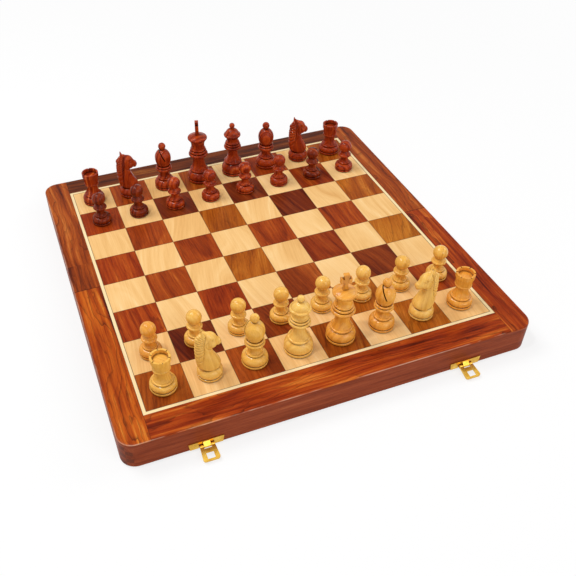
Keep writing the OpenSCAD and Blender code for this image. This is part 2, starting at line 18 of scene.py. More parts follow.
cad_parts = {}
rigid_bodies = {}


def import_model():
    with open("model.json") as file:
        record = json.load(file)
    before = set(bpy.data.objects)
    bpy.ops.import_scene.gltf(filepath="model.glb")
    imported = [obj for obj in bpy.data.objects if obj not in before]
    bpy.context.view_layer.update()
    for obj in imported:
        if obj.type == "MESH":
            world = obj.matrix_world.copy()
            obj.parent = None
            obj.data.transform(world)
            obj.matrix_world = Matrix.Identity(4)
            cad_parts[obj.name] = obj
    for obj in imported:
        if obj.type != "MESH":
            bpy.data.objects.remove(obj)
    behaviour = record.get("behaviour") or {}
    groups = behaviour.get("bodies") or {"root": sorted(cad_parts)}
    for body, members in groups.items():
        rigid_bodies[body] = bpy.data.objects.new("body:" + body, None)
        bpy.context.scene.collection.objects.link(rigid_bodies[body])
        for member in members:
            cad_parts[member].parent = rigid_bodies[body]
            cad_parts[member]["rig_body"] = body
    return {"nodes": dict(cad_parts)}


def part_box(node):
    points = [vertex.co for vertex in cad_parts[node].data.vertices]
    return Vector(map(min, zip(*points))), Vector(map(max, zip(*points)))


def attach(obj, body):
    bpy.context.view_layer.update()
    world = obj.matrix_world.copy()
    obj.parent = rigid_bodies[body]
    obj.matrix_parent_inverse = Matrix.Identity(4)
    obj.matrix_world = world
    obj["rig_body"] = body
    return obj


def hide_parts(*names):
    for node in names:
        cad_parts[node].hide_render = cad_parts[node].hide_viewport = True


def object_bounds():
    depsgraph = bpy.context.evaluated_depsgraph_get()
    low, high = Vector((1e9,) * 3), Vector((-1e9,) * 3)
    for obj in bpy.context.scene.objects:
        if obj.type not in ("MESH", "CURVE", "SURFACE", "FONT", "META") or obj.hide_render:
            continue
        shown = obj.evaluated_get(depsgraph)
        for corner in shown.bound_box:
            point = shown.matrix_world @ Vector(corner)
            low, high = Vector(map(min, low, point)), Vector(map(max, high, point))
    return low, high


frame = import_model()
cad_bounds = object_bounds()
nodes = frame["nodes"]

# %% [markdown]
# ## Sizes, taken from the frame
#
# Every place on the board follows from a few sizes: one square, the stringing, the border and the
# height of the playing surface. They are read from the boxes of the CAD nodes, so the looks still
# fit when the model is packed again with other sizes.

# %% Sizes
mm = 0.001
field_low, field_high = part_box("front_light_squares")
half_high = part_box("front_border")[1]
square = (field_high.x - field_low.x) / 8
board_top = field_high.z
half_width = half_high.x
stringing_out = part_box("front_stringing")[1].x
wall_low, wall_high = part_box("front_wall")
finger = (wall_high.z - wall_low.z) / 5
wall_thick = wall_high.y - wall_low.y
print(f"square {square / mm:.1f} mm, board {2 * half_width / mm:.0f} mm, top at {board_top / mm:.1f} mm")

# %% [markdown]
# ## Camera
#
# The photograph was taken from the front left, about 40 degrees up. Its focal length and its
# off-centre axis were found by fitting the corners of the squares, so the camera has a small shift.

# %% Camera
picture_px = 576
focal_px = 729.1
axis_px = (245.5, 283.1)
camera_data = bpy.data.cameras.new("camera")
camera = bpy.data.objects.new("camera", camera_data)
bpy.context.scene.collection.objects.link(camera)
camera_data.lens = focal_px / picture_px * camera_data.sensor_width
camera_data.shift_x = (picture_px / 2 - axis_px[0]) / picture_px
camera_data.shift_y = (axis_px[1] - picture_px / 2) / picture_px
camera_data.clip_start = 0.02
camera_place = (-0.1956, -0.5005, 0.4628)
camera_turn = (48.084, 0.636, -20.288)
camera.location = camera_place
camera.rotation_euler = [math.radians(a) for a in camera_turn]
bpy.context.scene.camera = camera
print(f"lens {camera_data.lens:.1f} mm")

# %% [markdown]
# ## Light
#
# Soft studio light has no hard edges. Three large area lamps give soft shadows and broad highlights,
# and a small bright one, high on the left, gives the crisp glints on polish and brass. A sun lamp
# would be simpler, but it has only one small highlight and a hard shadow. The Standard view shows
# a colour about as it is written.

# %% Light
view = bpy.context.scene.view_settings
view.view_transform = "Standard"


def area_lamp(name, place, size, power, colour=(1, 1, 1)):
    """A square soft lamp that points at the middle of the board."""
    data = bpy.data.lights.new(name, "AREA")
    data.shape = "SQUARE"
    data.size = size
    data.energy = power
    data.color = colour
    lamp = bpy.data.objects.new(name, data)
    lamp.location = place
    lamp.rotation_euler = (-Vector(place)).to_track_quat("-Z", "Y").to_euler()
    bpy.context.scene.collection.objects.link(lamp)
    return lamp


lamps = [area_lamp("key", (-0.55, 0.35, 1.15), 0.55, 7.4),
         area_lamp("spark", (-0.45, -0.15, 1.2), 0.08, 3.2),
         area_lamp("front_fill", (0.35, -1.2, 0.75), 0.9, 5.5),
         area_lamp("right_fill", (1.15, -0.1, 0.7), 0.7, 3.5)]
print(len(lamps), "lamps,", round(sum(lamp.data.energy for lamp in lamps), 1), "W together")

# %% [markdown]
# ## Helpers
#
# A procedural material is a graph of small nodes. Written out by hand it is long, so these helpers
# add one node each, link what they are given and return its output. Then a material reads like a
# sum: noise, stretched, mapped to a range, turned into a colour.

# %% Add nodes, link them, start a material
def add(tree, kind, settings=None, **inputs):
    """Adds a shader node. Settings are its properties; inputs are numbers, colours or sockets."""
    made = tree.nodes.new(kind if "Node" in kind else "ShaderNode" + kind)
    for name, value in (settings or {}).items():
        setattr(made, name, value)
    for name, value in inputs.items():
        feed(tree, made.inputs[name.replace("_", " ")], value)
    return made


def feed(tree, socket, value):
    """Links a socket to an input, or sets the input's own value."""
    if isinstance(value, bpy.types.NodeSocket):
        tree.links.new(value, socket)
    elif hasattr(value, "__len__") and len(value) == 3 and socket.type == "RGBA":
        socket.default_value = (*value, 1)
    else:
        socket.default_value = value


def new_material(name):
    """An empty material with its output node."""
    made = bpy.data.materials.new(name)
    made.use_nodes = True
    made.node_tree.nodes.clear()
    return made, made.node_tree, add(made.node_tree, "OutputMaterial")


kinds_of_node = sum(name.startswith("ShaderNode") for name in dir(bpy.types))
print("add() can make", kinds_of_node, "kinds of shader node")

# %% [markdown]
# Noise gives numbers, and numbers have to be bent, stretched and mapped before they look like
# wood. These helpers do the arithmetic on outputs, one node for each step.


# %% Arithmetic on outputs
def calc(tree, operation, *values, clamp=False):
    """One step of arithmetic; gives its output."""
    made = tree.nodes.new("ShaderNodeMath")
    made.operation = operation
    made.use_clamp = clamp
    for socket, value in zip(made.inputs, values):
        feed(tree, socket, value)
    return made.outputs[0]


def vector_calc(tree, operation, *values):
    """One step of vector arithmetic; gives its vector output."""
    made = tree.nodes.new("ShaderNodeVectorMath")
    made.operation = operation
    for socket, value in zip(made.inputs, values):
        feed(tree, socket, value)
    return made.outputs[0]


def stretch(tree, vector, amounts):
    """Scales a vector by a different amount along each axis."""
    return vector_calc(tree, "MULTIPLY", vector, amounts)


def remap(tree, value, low, high, to_low=0.0, to_high=1.0):
    """Maps a range of values to another, clamped."""
    made = add(tree, "MapRange", None, Value=value)
    for name, number in zip(("From Min", "From Max", "To Min", "To Max"), (low, high, to_low, to_high)):
        feed(tree, made.inputs[name], number)
    return made.outputs[0]


steps = bpy.types.ShaderNodeMath.bl_rna.properties["operation"].enum_items
print("calc() knows", len(steps), "operations")

# %% [markdown]
# Colours are written as screen codes, because those are what one sees. Blender calculates with
# linear light, so paint() turns a code into it. A ramp turns a number into such a colour.


# %% Noise, ramps and colours
def noise(tree, vector, scale, detail=2.0, roughness=0.5, distortion=0.0):
    """Fractal noise from about 0 to 1."""
    made = add(tree, "TexNoise", None, Vector=vector, Scale=scale, Detail=detail,
               Roughness=roughness, Distortion=distortion)
    return made.outputs["Fac"]


def mix(tree, factor, first, second, blend="MIX"):
    """Mixes two colours; gives the colour output."""
    made = tree.nodes.new("ShaderNodeMix")
    made.data_type = "RGBA"
    made.blend_type = blend
    feed(tree, made.inputs[0], factor)
    feed(tree, made.inputs[6], first)
    feed(tree, made.inputs[7], second)
    return made.outputs[2]


def ramp(tree, factor, stops):
    """A colour ramp from (position, colour) pairs."""
    made = add(tree, "ValToRGB", None, Fac=factor)
    bar = made.color_ramp
    while len(bar.elements) < len(stops):
        bar.elements.new(0.5)
    for element, (position, colour) in zip(bar.elements, stops):
        element.position = position
        element.color = (*colour, 1)
    return made.outputs["Color"]


def paint(code):
    """A colour from the screen code that one reads off a photograph, made linear."""
    parts = [int(code[i:i + 2], 16) / 255 for i in (1, 3, 5)]
    return tuple(p / 12.92 if p < 0.04045 else ((p + 0.055) / 1.055) ** 2.4 for p in parts)


print("#808080 is", round(paint("#808080")[0], 3), "in linear light")

# %% [markdown]
# ## White sky
#
# The photograph's ground is plain white. Lamps strong enough to make it so would wash out the
# woods. So the white comes from the materials: the world lights the object softly, but rays from
# the camera, and those that a polished surface reflects, see it plain white.

# %% White sky
def sees_directly(tree):
    """1 for rays from the camera, and for those reflected or bent on their way from it."""
    path = add(tree, "LightPath")
    seen = calc(tree, "MAXIMUM", path.outputs["Is Camera Ray"], path.outputs["Is Glossy Ray"])
    return calc(tree, "MAXIMUM", seen, path.outputs["Is Transmission Ray"])


soft_light, plain_white = 0.33, 1.0
world = bpy.data.worlds.new("studio")
bpy.context.scene.world = world
world.use_nodes = True
world.node_tree.nodes.clear()
sky = world.node_tree
soft_sky = add(sky, "Background", None, Color=(1, 1, 1), Strength=soft_light)
white_sky = add(sky, "Background", None, Color=(1, 1, 1), Strength=plain_white)
sky_mix = add(sky, "MixShader", None, Fac=sees_directly(sky))
feed(sky, sky_mix.inputs[1], soft_sky.outputs[0])
feed(sky, sky_mix.inputs[2], white_sky.outputs[0])
add(sky, "OutputWorld", None, Surface=sky_mix.outputs[0])
print("the sky lights with", soft_light, "and is seen as", plain_white)

# %% [markdown]
# ## White ground
#
# The paper is white and shines by itself for the camera, which sees three quarters of that shine
# near the box, and nothing else far from it. The last quarter is plain lit paper, which keeps the
# soft shadow beside the box and fades out further away.


# %% White ground
def ground_material():
    """White paper that keeps a soft shadow: part of it shines by itself for the camera."""
    made, tree, out = new_material("white_ground")
    paper = add(tree, "BsdfDiffuse", None, Color=(0.95, 0.95, 0.95), Roughness=0.5)
    glow = add(tree, "Emission", None, Color=(1, 1, 1), Strength=plain_white)
    away = add(tree, "VectorMath", {"operation": "LENGTH"})
    feed(tree, away.inputs[0], add(tree, "TexCoord").outputs["Object"])
    near, far = 0.4, 1.2
    share = remap(tree, away.outputs["Value"], near, far, 0.75, 1.0)
    shown = add(tree, "MixShader", None, Fac=calc(tree, "MULTIPLY", sees_directly(tree), share))
    feed(tree, shown.inputs[1], paper.outputs[0])
    feed(tree, shown.inputs[2], glow.outputs[0])
    feed(tree, out.inputs["Surface"], shown.outputs[0])
    return made


def flat_sheet(name, size, height):
    """A square in the XY plane."""
    mesh = bpy.data.meshes.new(name)
    s = size / 2
    mesh.from_pydata([(-s, -s, height), (s, -s, height), (s, s, height), (-s, s, height)], [],
                     [(0, 1, 2, 3)])
    made = bpy.data.objects.new(name, mesh)
    bpy.context.scene.collection.objects.link(made)
    return made


ground = flat_sheet("ground", 8.0, cad_bounds[0].z - 0.0001)
ground.data.materials.append(ground_material())
print("ground at", round(cad_bounds[0].z / mm, 2), "mm")

# %% [markdown]
# ## Figured wood
#
# Real wood is a solid. A tree lays down rings round its heart, and each face of a board shows a cut
# through them: long flames where the cut runs along a ring, straight stripes where it crosses many.
# So the wood here is a solid texture in the piece's own coordinates, with the fibres along one
# axis: an irregular band for each ring, by its distance from a heart that wanders a little, then
# fine streaks, and last the fibres and open pores that also give the surface its relief. The late
# wood of each year is dark and ends sharply, and draws the thin lines of strongly figured boards.


# %% The wood's own space
fibre_turns = {"Y": (0, 0, math.radians(-90)), "Z": (0, math.radians(90), 0)}


def object_place(tree):
    """The piece's own coordinates in metres, which move with it."""
    return add(tree, "TexCoord").outputs["Object"]


def along_fibres(tree, place, along):
    """Turns coordinates so that the fibres, which run along the named axis, run along X."""
    if along == "X":
        return place
    return add(tree, "VectorRotate", {"rotation_type": "EULER_XYZ"}, Vector=place,
               Rotation=fibre_turns[along]).outputs[0]


def shifted(tree, place, offset):
    """The same coordinates, moved: another piece cut from another part of the tree."""
    return vector_calc(tree, "ADD", place, offset)


def coordinate(tree, vector, axis):
    """One coordinate of a vector."""
    return add(tree, "SeparateXYZ", None, Vector=vector).outputs[axis]


print("fibres run along X, or are turned from", *fibre_turns)

# %% [markdown]
# A ring's number is a distance from the heart divided by the width of a ring. Noise along that
# number gives soft bands of uneven width, and its fraction gives the sharp late wood. Wave texture
# has rings too, but all of one width, which looks like plastic.


# %% Rings and late wood
ring_bend = 9             # how often the heart wanders in a metre along the fibres


def ring_age(tree, place, heart_mm, ring_mm, wander_mm, across, detail, roughness):
    """How many rings lie between a point and the tree's heart, which wanders by a soft noise."""
    drift = add(tree, "TexNoise", None, Vector=stretch(tree, place, (ring_bend, across, across)),
                Scale=1.0, Detail=detail, Roughness=roughness)
    pull = vector_calc(tree, "SUBTRACT", drift.outputs["Color"], (0.5, 0.5, 0.5))
    bent = vector_calc(tree, "MULTIPLY_ADD", pull, (0, wander_mm * mm * 2, wander_mm * mm * 2), place)
    from_heart = vector_calc(tree, "ADD", bent, (0, heart_mm[0] * mm, heart_mm[1] * mm))
    radius = add(tree, "VectorMath", {"operation": "LENGTH"})
    feed(tree, radius.inputs[0], stretch(tree, from_heart, (0, 1, 1)))
    return calc(tree, "MULTIPLY", radius.outputs["Value"], 1 / (ring_mm * mm))


def rings(tree, place, heart_mm, ring_mm, wander_mm):
    """Soft bands from 0 to 1 round the tree's heart, which lies heart_mm away in Y and Z."""
    age = ring_age(tree, place, heart_mm, ring_mm, wander_mm, 26, 1.0, 0.5)
    ring_place = add(tree, "CombineXYZ", None, X=age)
    feed(tree, ring_place.inputs["Y"], calc(tree, "MULTIPLY", coordinate(tree, place, "X"), 5.0))
    return noise(tree, ring_place.outputs[0], 1.0, 2.5, 0.6)


def late_wood(tree, place, heart_mm, ring_mm, wander_mm):
    """Thin dark lines from 0 to 1, each darkening slowly towards the end of its ring."""
    age = ring_age(tree, place, heart_mm, ring_mm, wander_mm, 32, 4.0, 0.55)
    part = calc(tree, "FRACT", age)
    strong = add(tree, "TexWhiteNoise", {"noise_dimensions": "1D"}, W=calc(tree, "FLOOR", age))
    line = calc(tree, "MULTIPLY", calc(tree, "POWER", part, 5.0), remap(tree, part, 1.0, 0.93))
    return calc(tree, "MULTIPLY", line, remap(tree, strong.outputs["Value"], 0.0, 1.0, 0.3, 1.4))


print("the heart wanders about every", round(1000 / ring_bend), "mm")

# %% [markdown]
# Along the fibres nothing changes for centimetres, across them it changes within a hair's breadth.
# So these patterns are plain noise, stretched along the fibres. Pores are short dashes of it.


# %% Streaks, fibres and pores
strand_stretch = (90, 2600, 2600)      # spots in a metre, along and across the fibres
pore_stretch = (240, 2800, 2800)


def streaks(tree, place, wide_mm, long_mm=60):
    """Straight darker and lighter streaks along the fibres."""
    wide = 1 / (wide_mm * mm)
    return noise(tree, stretch(tree, place, (1 / (long_mm * mm), wide, wide)), 1.0, 2.0, 0.55)


def fibres(tree, place):
    """Fine fibres and open pores, each from 0 to 1."""
    strands = noise(tree, stretch(tree, place, strand_stretch), 1.0, 2.0, 0.6)
    dashes = noise(tree, stretch(tree, place, pore_stretch), 1.0, 1.0, 0.5)
    return strands, remap(tree, dashes, 0.6, 0.74)


print("strands are", round(strand_stretch[1] / strand_stretch[0]), "times as long as wide")

# %% [markdown]
# The patterns are added by weight to one grade, and a ramp of five tones colours it, from the
# wood's dark lines to its light ones. The lacquer is the shader's own gloss: its Specular IOR Level
# is low, because a stronger one lays a white haze from the bright sky over dark wood.


# %% Grade, tones and lacquer
def graded(tree, *weighted):
    """Adds patterns, each about 0.5 in the middle, by their weights, to one grade from 0 to 1."""
    total = 0.5
    for pattern, weight in weighted:
        total = calc(tree, "MULTIPLY_ADD", calc(tree, "SUBTRACT", pattern, 0.5), weight, total)
    return remap(tree, total, 0.0, 1.0)


def tone_ramp(tree, grade, tones):
    """Colours from the dark lines of a wood to its light ones."""
    last = len(tones) - 1
    return ramp(tree, grade, [(i / last, paint(t)) for i, t in enumerate(tones)])


def lacquered(tree, out, colour, strands, pores, gloss, shine=0.07, bump=0.00002):
    """A lacquered wood surface from its colour and its relief."""
    roughness = remap(tree, strands, 0.3, 0.7, gloss, gloss + 0.1)
    height = calc(tree, "SUBTRACT", calc(tree, "MULTIPLY", strands, 0.5), pores)
    relief = add(tree, "Bump", None, Strength=0.35, Distance=bump, Height=height)
    surface = add(tree, "BsdfPrincipled", None, Base_Color=colour, Roughness=roughness,
                  Normal=relief.outputs[0])
    surface.inputs["Specular IOR Level"].default_value = shine
    feed(tree, out.inputs["Surface"], surface.outputs[0])
    return surface


dark_brown = paint("#2a0d06")         # veins, pores and glue lines
print("dark lines have the colour", [round(part, 3) for part in dark_brown])

# %% [markdown]
# ## The brown frame
#
# Walls and border are a brown hardwood whose tone changes from board to board, from grey-brown
# through red to orange. The three strips of a half's border are one CAD node, so its material finds
# out where it is: the side strips run the whole depth with their fibres along Y, and the strip
# between them runs along X. Each strip gets its own place in the tree and its own tones. Below the
# rounded edge the border shows its outer face, which continues the wall under it.

# %% Tones of brown hardwood
red_tones = ["#4c1206", "#7f2708", "#9c390f", "#b24e17", "#cf7129"]
orange_tones = ["#561606", "#8f3409", "#ae4a10", "#c46019", "#e08f38"]
gold_tones = ["#642806", "#93480e", "#ae5e16", "#c07424", "#dc9a40"]
brown_tones = ["#4a1707", "#7a2f0c", "#964012", "#ac521c", "#c87432"]
dusky_tones = ["#300b04", "#581a08", "#6f280c", "#853714", "#a65226"]
back_tones = ["#2c0e03", "#501f07", "#672b0b", "#7b3a12", "#9a5a24"]
face_tones = ["#4e1a08", "#793014", "#8f3f20", "#a24e2b", "#bd6c40"]
print("red wood goes from", red_tones[0], "to", red_tones[-1])

# %% [markdown]
# ## Walls
#
# The walls meet in finger joints, so near a corner the end grain of one wall alternates with the
# face of the other. All walls share one material: it finds out from the place whether it is on a
# side or on the front, and turns its fibres so that they run along the wall.


# %% Walls
def dress(name, *materials):
    """Gives a CAD node its materials."""
    slots = nodes[name].data.materials
    slots.clear()
    for material in materials:
        slots.append(material)


def wall_look(tree, place):
    """Colour, strands and pores of a wall, whose fibres run along its side of the box."""
    parts = add(tree, "SeparateXYZ", None, Vector=place)
    x, y = (calc(tree, "ABSOLUTE", parts.outputs[a]) for a in ("X", "Y"))
    on_side = calc(tree, "GREATER_THAN", x,
                   calc(tree, "MAXIMUM", y, half_width - wall_thick - 0.1 * mm))
    run = mix(tree, on_side, place, along_fibres(tree, place, "Y"))
    run = shifted(tree, run, (0.3, 0.05, 0.02))
    strands, pores = fibres(tree, run)
    grade = graded(tree, (streaks(tree, run, 5.0, 90), 0.9), (streaks(tree, run, 1.1, 30), 0.7),
                   (strands, 0.4))
    colour = tone_ramp(tree, grade, face_tones)
    colour = mix(tree, calc(tree, "MULTIPLY", pores, 0.4), colour, paint("#3a160c"))
    # finger joints: in the corners every second band belongs to the other wall and shows end grain
    band = calc(tree, "FLOOR", calc(tree, "DIVIDE", calc(tree, "SUBTRACT", parts.outputs["Z"], wall_low.z),
                                     finger))
    odd = calc(tree, "MODULO", calc(tree, "ADD", band, on_side), 2.0)
    inner = half_width - wall_thick
    corner = remap(tree, calc(tree, "MINIMUM", x, y), inner, inner + 0.1 * mm)
    corner = calc(tree, "MULTIPLY", corner, calc(tree, "LESS_THAN", parts.outputs["Z"], wall_high.z))
    end_grain = ramp(tree, noise(tree, place, 2600.0, 1.0, 0.5),
                     [(0.35, paint("#4e2010")), (0.65, paint("#7d3c22"))])
    ends = calc(tree, "MULTIPLY", calc(tree, "MULTIPLY", odd, corner), 0.8)
    return mix(tree, ends, colour, end_grain), strands, pores


def wall_material(name):
    """Walls as seen from outside and inside, under satin lacquer."""
    made, tree, out = new_material(name)
    colour, strands, pores = wall_look(tree, object_place(tree))
    lacquered(tree, out, colour, strands, pores, 0.4)
    return made


wall_wood = wall_material("wall_wood")
for half in ("front", "rear"):
    for part in ("wall", "side_walls", "fold_wall"):
        dress(f"{half}_{part}", wall_wood)
print("walls dressed,", round(finger / mm, 1), "mm to a finger")

# %% [markdown]
# ## Border strips
#
# One could cut the border into three objects, but a material can tell them apart by their place and
# leave the CAD node whole. Dark glue lines part the strips. Along the rounded edge a pale, broken line
# is painted in: a painted highlight where the lacquer catches the light.


# %% Border strips
def border_material(name, cross_tones, left_tones, right_tones, seeds, patch):
    """Three strips of different boards: across, left and right. The patch is a let-in piece."""
    made, tree, out = new_material(name)
    place = object_place(tree)
    parts = add(tree, "SeparateXYZ", None, Vector=place)
    x, y, z = (parts.outputs[a] for a in ("X", "Y", "Z"))
    out_x = calc(tree, "ABSOLUTE", x)
    on_side = calc(tree, "GREATER_THAN", out_x, stringing_out)
    on_right = calc(tree, "MULTIPLY", on_side, calc(tree, "GREATER_THAN", x, 0.0))
    side_place = shifted(tree, along_fibres(tree, place, "Y"), seeds[1])
    right_place = shifted(tree, along_fibres(tree, place, "Y"), seeds[2])
    run = mix(tree, on_side, shifted(tree, place, seeds[0]), mix(tree, on_right, side_place, right_place))
    patched = patch(tree, x, y)
    run = shifted(tree, run, stretch(tree, add(tree, "CombineXYZ", None, X=patched, Y=patched).outputs[0],
                                     (0.7, 0.033, 0)))
    bands = rings(tree, run, (12, 34), 4.6, 9.0)
    strands, pores = fibres(tree, run)
    cloud = noise(tree, stretch(tree, run, (13, 45, 45)), 1.0, 2.0, 0.5, 0.6)
    grade = graded(tree, (bands, 2.0), (cloud, 1.4), (streaks(tree, run, 1.6), 0.6), (strands, 0.35))
    veins = late_wood(tree, run, (3, 22), 4.4, 22.0)
    colour = mix(tree, on_side, tone_ramp(tree, grade, cross_tones),
                 mix(tree, on_right, tone_ramp(tree, grade, left_tones),
                     tone_ramp(tree, grade, right_tones)))
    colour = mix(tree, calc(tree, "MULTIPLY", veins, 0.8), colour, dark_brown)
    colour = mix(tree, calc(tree, "MULTIPLY", pores, 0.4), colour, dark_brown)
    # dark lines where two strips meet, and along the fold
    joint = calc(tree, "LESS_THAN", calc(tree, "ABSOLUTE", calc(tree, "SUBTRACT", out_x, stringing_out)),
                 0.2 * mm)
    fold = calc(tree, "LESS_THAN", calc(tree, "ABSOLUTE", y), 0.5 * mm)
    colour = mix(tree, calc(tree, "MULTIPLY", calc(tree, "MAXIMUM", joint, fold), 0.6), colour, dark_brown)
    face_colour = wall_look(tree, place)[0]
    on_top = calc(tree, "GREATER_THAN", z, board_top - 0.9 * mm)
    colour = mix(tree, on_top, face_colour, colour)
    # painted highlight: a pale, broken line along the rounded edge, where the lacquer catches the light
    highlight_band = calc(tree, "MULTIPLY", remap(tree, z, board_top - 1.0 * mm, board_top - 0.7 * mm),
                     remap(tree, z, board_top - 0.15 * mm, board_top - 0.4 * mm))
    wear_and_highlight = remap(tree, noise(tree, place, 30.0, 3.0, 0.6), 0.42, 0.62, 0.0, 0.45)
    colour = mix(tree, calc(tree, "MULTIPLY", highlight_band, wear_and_highlight), colour, paint("#eccbb0"))
    lacquered(tree, out, colour, strands, pores, 0.3)
    return made


def behind_fold(tree, x, y):
    """1 on the left strip, for nearly a square's length behind the fold."""
    return calc(tree, "MULTIPLY", calc(tree, "LESS_THAN", x, 0.0),
                calc(tree, "LESS_THAN", y, 0.95 * square))


def scarf(tree, x, y):
    """1 on the right strip's corner at the fold, before a slanting glue line."""
    slant = calc(tree, "MULTIPLY_ADD", calc(tree, "SUBTRACT", x, stringing_out), 0.9, y)
    return calc(tree, "MULTIPLY", calc(tree, "GREATER_THAN", x, stringing_out),
                calc(tree, "GREATER_THAN", slant, 0.0))


dress("front_border", border_material(
    "front_border_wood", red_tones, orange_tones, red_tones,
    [(0.2, 0.01, 0.0), (0.55, 0.02, 0.01), (0.9, -0.03, 0.02)], scarf))
dress("rear_border", border_material(
    "rear_border_wood", back_tones, brown_tones, brown_tones,
    [(1.3, 0.03, 0.0), (1.7, -0.02, 0.0), (2.2, 0.02, 0.01)], behind_fold))
print("borders dressed")

# %% [markdown]
# ## The squares
#
# The 32 dark squares are sawn from many boards of that brown wood: most are red-brown, some golden,
# some nearly black, with the fibres roughly along Y but turned a little. The pale ones are maple,
# much alike. A white-noise texture fed with the number of the square gives each one its own random
# numbers, which choose its tone, its turn and its place in the tree. Thin dark glue lines part them.


# %% One square's own numbers
dark_seed, pale_seed = 3.0, 11.0      # any numbers do: they shuffle the boards
glue_line = (0.45 * mm, 0.15 * mm)    # from a square's edge, where the line begins and is full


def square_cells(tree, seed):
    """For each square: its random colour, its coordinates from its middle, and its glue line."""
    place = object_place(tree)
    scaled = vector_calc(tree, "SCALE", place)
    scaled.node.inputs["Scale"].default_value = 1 / square
    cell = vector_calc(tree, "FLOOR", scaled)
    chance = add(tree, "TexWhiteNoise", {"noise_dimensions": "3D"},
                 Vector=vector_calc(tree, "ADD", cell, (0, 0, seed)))
    middle = vector_calc(tree, "ADD", cell, (0.5, 0.5, 0.0))
    off = vector_calc(tree, "SUBTRACT", scaled, middle)
    local = vector_calc(tree, "SCALE", off)
    local.node.inputs["Scale"].default_value = square
    flat = add(tree, "SeparateXYZ", None, Vector=off)
    edge = calc(tree, "MAXIMUM", calc(tree, "ABSOLUTE", flat.outputs["X"]),
                calc(tree, "ABSOLUTE", flat.outputs["Y"]))
    line = remap(tree, edge, *(0.5 - inward / square for inward in glue_line))
    local = add(tree, "CombineXYZ", None, X=coordinate(tree, local, "X"), Y=coordinate(tree, local, "Y"),
                Z=coordinate(tree, place, "Z")).outputs[0]
    return chance, local, line


def square_run(tree, chance, local, most_turn):
    """The square's own fibre space: turned by up to most_turn radians and moved at random."""
    numbers = add(tree, "SeparateColor", None, Color=chance.outputs["Color"])
    lean = remap(tree, numbers.outputs["Red"], 0.0, 1.0, -most_turn, most_turn)
    leaning = add(tree, "VectorRotate", {"rotation_type": "Z_AXIS"}, Vector=local, Angle=lean)
    run = along_fibres(tree, leaning.outputs[0], "Y")
    spot = stretch(tree, chance.outputs["Color"], (7.0, 0.09, 0.03))
    return vector_calc(tree, "ADD", run, spot), numbers


print("each square has its own numbers in", round(square / mm, 1), "mm cells")

# %% [markdown]
# The dark squares mix four kinds of brown by their random numbers: most are red or plain brown. The
# highest numbers turn golden and the lowest nearly black.


# %% Dark squares
def dark_square_material():
    """Brown squares, each from its own board."""
    made, tree, out = new_material("dark_square_wood")
    chance, local, line = square_cells(tree, dark_seed)
    run, numbers = square_run(tree, chance, local, 0.35)
    bands = rings(tree, run, (-45, 30), 3.4, 8.0)
    strands, pores = fibres(tree, run)
    grade = graded(tree, (bands, 1.6), (streaks(tree, run, 1.5, 45), 0.6), (strands, 0.5))
    veins = late_wood(tree, run, (-8, 20), 3.0, 10.0)
    pick = chance.outputs["Value"]
    colour = mix(tree, remap(tree, numbers.outputs["Blue"], 0.3, 0.9), tone_ramp(tree, grade, red_tones),
                 tone_ramp(tree, grade, brown_tones))
    colour = mix(tree, remap(tree, pick, 0.66, 0.92), colour, tone_ramp(tree, grade, gold_tones))
    colour = mix(tree, remap(tree, pick, 0.36, 0.1), colour, tone_ramp(tree, grade, dusky_tones))
    colour = mix(tree, calc(tree, "MULTIPLY", veins, 0.45), colour, dark_brown)
    colour = mix(tree, calc(tree, "MULTIPLY", pores, 0.45), colour, dark_brown)
    colour = mix(tree, calc(tree, "MULTIPLY", line, 0.75), colour, paint("#2a1208"))
    lacquered(tree, out, colour, strands, pores, 0.34)
    return made


dark_square_wood = dark_square_material()
for half in ("front", "rear"):
    dress(half + "_dark_squares", dark_square_wood)
print("dark squares dressed")

# %% [markdown]
# Maple is close-grained and pale. Two tones, cream and honey, are enough, because its squares
# differ little. The rings are soft and the pores hardly show.


# %% Pale squares
def pale_square_material():
    """Maple squares: pale, nearly alike, with faint rings and flecks."""
    made, tree, out = new_material("pale_square_wood")
    chance, local, line = square_cells(tree, pale_seed)
    run = square_run(tree, chance, local, 0.3)[0]
    strands, pores = fibres(tree, run)
    grade = graded(tree, (rings(tree, run, (-30, 40), 3.0, 9.0), 1.7), (streaks(tree, run, 1.2), 0.7),
                   (strands, 0.4))
    cream = tone_ramp(tree, grade, ["#e0ab68", "#edbd7a", "#f4c786", "#f8cf92", "#fcdda8"])
    honey = tone_ramp(tree, grade, ["#d8a05c", "#e5b06c", "#eebc78", "#f3c584", "#f8d498"])
    colour = mix(tree, chance.outputs["Value"], cream, honey)
    colour = mix(tree, calc(tree, "MULTIPLY", pores, 0.12), colour, paint("#b98a50"))
    colour = mix(tree, calc(tree, "MULTIPLY", line, 0.6), colour, paint("#4a2410"))
    lacquered(tree, out, colour, strands, pores, 0.42)
    return made


pale_square_wood = pale_square_material()
for half in ("front", "rear"):
    dress(half + "_light_squares", pale_square_wood)
print("pale squares dressed")

# %% [markdown]
# The stringing is a narrow strip of the palest wood, let in round the field. It shows a dark glue
# line along each edge, and those lines make it look crisp.


